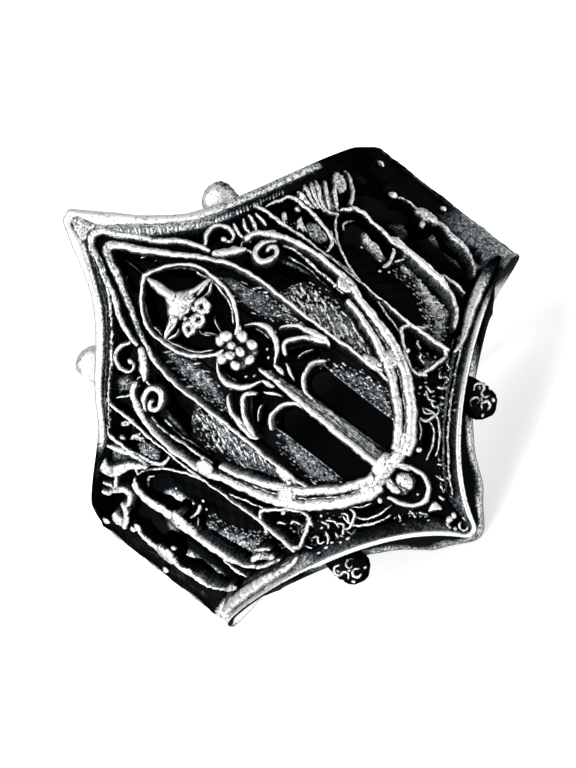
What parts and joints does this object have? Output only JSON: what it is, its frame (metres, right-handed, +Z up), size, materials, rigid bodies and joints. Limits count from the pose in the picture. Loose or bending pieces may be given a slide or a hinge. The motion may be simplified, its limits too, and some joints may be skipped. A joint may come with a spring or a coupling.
{
  "type": "finger ring",
  "caption": "One-piece cast finger ring with a tall pointed head, Gothic window tracery in relief, pierced lancets and crocket knobs, worn on a finger.",
  "frame": {"origin": "bottom centre of the ring's bounding box, on the surface that it rests on", "axes": "+X to the right of the face as seen from the front, -Y towards the front, +Z up. The finger hole's axis leans back from +Z towards +Y by 23.8 degrees."},
  "size_m": [0.025, 0.0292, 0.0261],
  "materials": {
    "silver": "sterling silver, blackened in the recesses and polished along every raised line"
  },
  "bodies": {
    "root": {"ring": "silver"}
  },
  "joints": []
}
